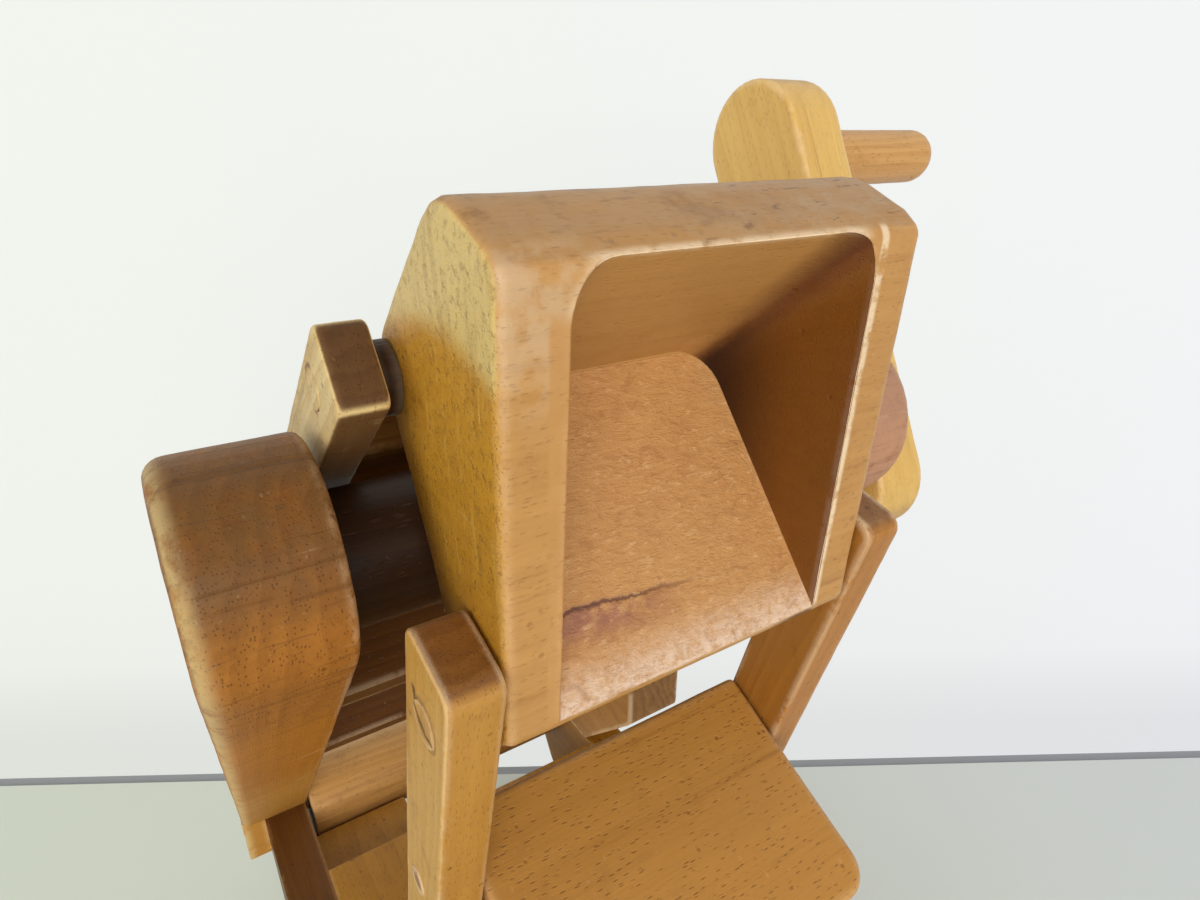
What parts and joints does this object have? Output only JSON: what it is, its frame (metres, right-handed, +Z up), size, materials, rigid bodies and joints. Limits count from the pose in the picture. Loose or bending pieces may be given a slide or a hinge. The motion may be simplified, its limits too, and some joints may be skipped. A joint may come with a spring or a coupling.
{
  "type": "hand-cranked wooden tipping bucket toy",
  "caption": "Wooden hand-crank toy: a crank and drum between sloping side bars push pegged bars that tip a hollowed bucket held on upright front arms.",
  "frame": {"origin": "on the base board's underside, midway between the two heavy side bars", "axes": "+Z up, +X towards the crank side, -Y the side that the bucket opens to"},
  "size_m": [0.212, 0.2011, 0.3099],
  "materials": {
    "bucket_wood": "satin",
    "bar_wood": "satin",
    "arm_wood": "satin",
    "board_wood": "satin",
    "base_wood": "satin",
    "turned_wood": "satin",
    "dowel_wood": "satin"
  },
  "bodies": {
    "frame": {"arm_sill": "base_wood", "arm_tenon_left": "dowel_wood", "arm_tenon_right": "dowel_wood", "base_board": "base_wood", "board_pin_left": "dowel_wood", "board_pin_right": "dowel_wood", "bucket_peg_left": "dowel_wood", "bucket_peg_right": "dowel_wood", "floor_board": "board_wood", "front_arm_left": "arm_wood", "front_arm_right": "arm_wood", "front_bearer": "base_wood", "front_board": "board_wood", "knee_block": "bar_wood", "ledge_block": "base_wood", "lower_stretcher": "base_wood", "rail_left": "base_wood", "rail_right": "base_wood", "rear_bearer": "base_wood", "roller_axle": "dowel_wood", "side_bar_left": "bar_wood", "side_bar_right": "bar_wood", "upper_stretcher": "base_wood"},
    "crank": {"crank_shaft": "dowel_wood", "drum": "turned_wood", "crank_washer": "dowel_wood", "crank_arm": "turned_wood", "crank_knob": "turned_wood"},
    "bucket": {"bucket": "bucket_wood", "push_peg_left": "dowel_wood", "push_peg_right": "dowel_wood", "push_spacer_left": "dowel_wood", "push_spacer_right": "dowel_wood"},
    "push_bars": {"push_bar_left": "arm_wood", "push_bar_right": "arm_wood", "push_tie": "dowel_wood", "push_board": "dowel_wood"},
    "roller": {"roller": "turned_wood"}
  },
  "joints": [
    {"name": "crank_turn", "type": "hinge", "parent": "frame", "child": "crank", "pos_m": [0, -0.0321, 0.2298], "axis": [1, 0, 0], "range_deg": [0, 125]},
    {"name": "bucket_tip", "type": "hinge", "parent": "frame", "child": "bucket", "pos_m": [0, -0.0675, 0.2205], "axis": [1, 0, 0], "range_deg": [0, 40]},
    {"name": "push_bar_swing", "type": "hinge", "parent": "bucket", "child": "push_bars", "pos_m": [0, -0.0391, 0.2633], "axis": [1, 0, 0], "range_deg": [-25, 0]},
    {"name": "roller_turn", "type": "hinge", "parent": "frame", "child": "roller", "pos_m": [0, 0.0795, 0.066], "axis": [1, 0, 0], "continuous": true}
  ],
  "couplings": [
    {"joint": "bucket_tip", "follows": "crank_turn", "ratio": 0.32},
    {"joint": "push_bar_swing", "follows": "crank_turn", "ratio": -0.1984}
  ]
}
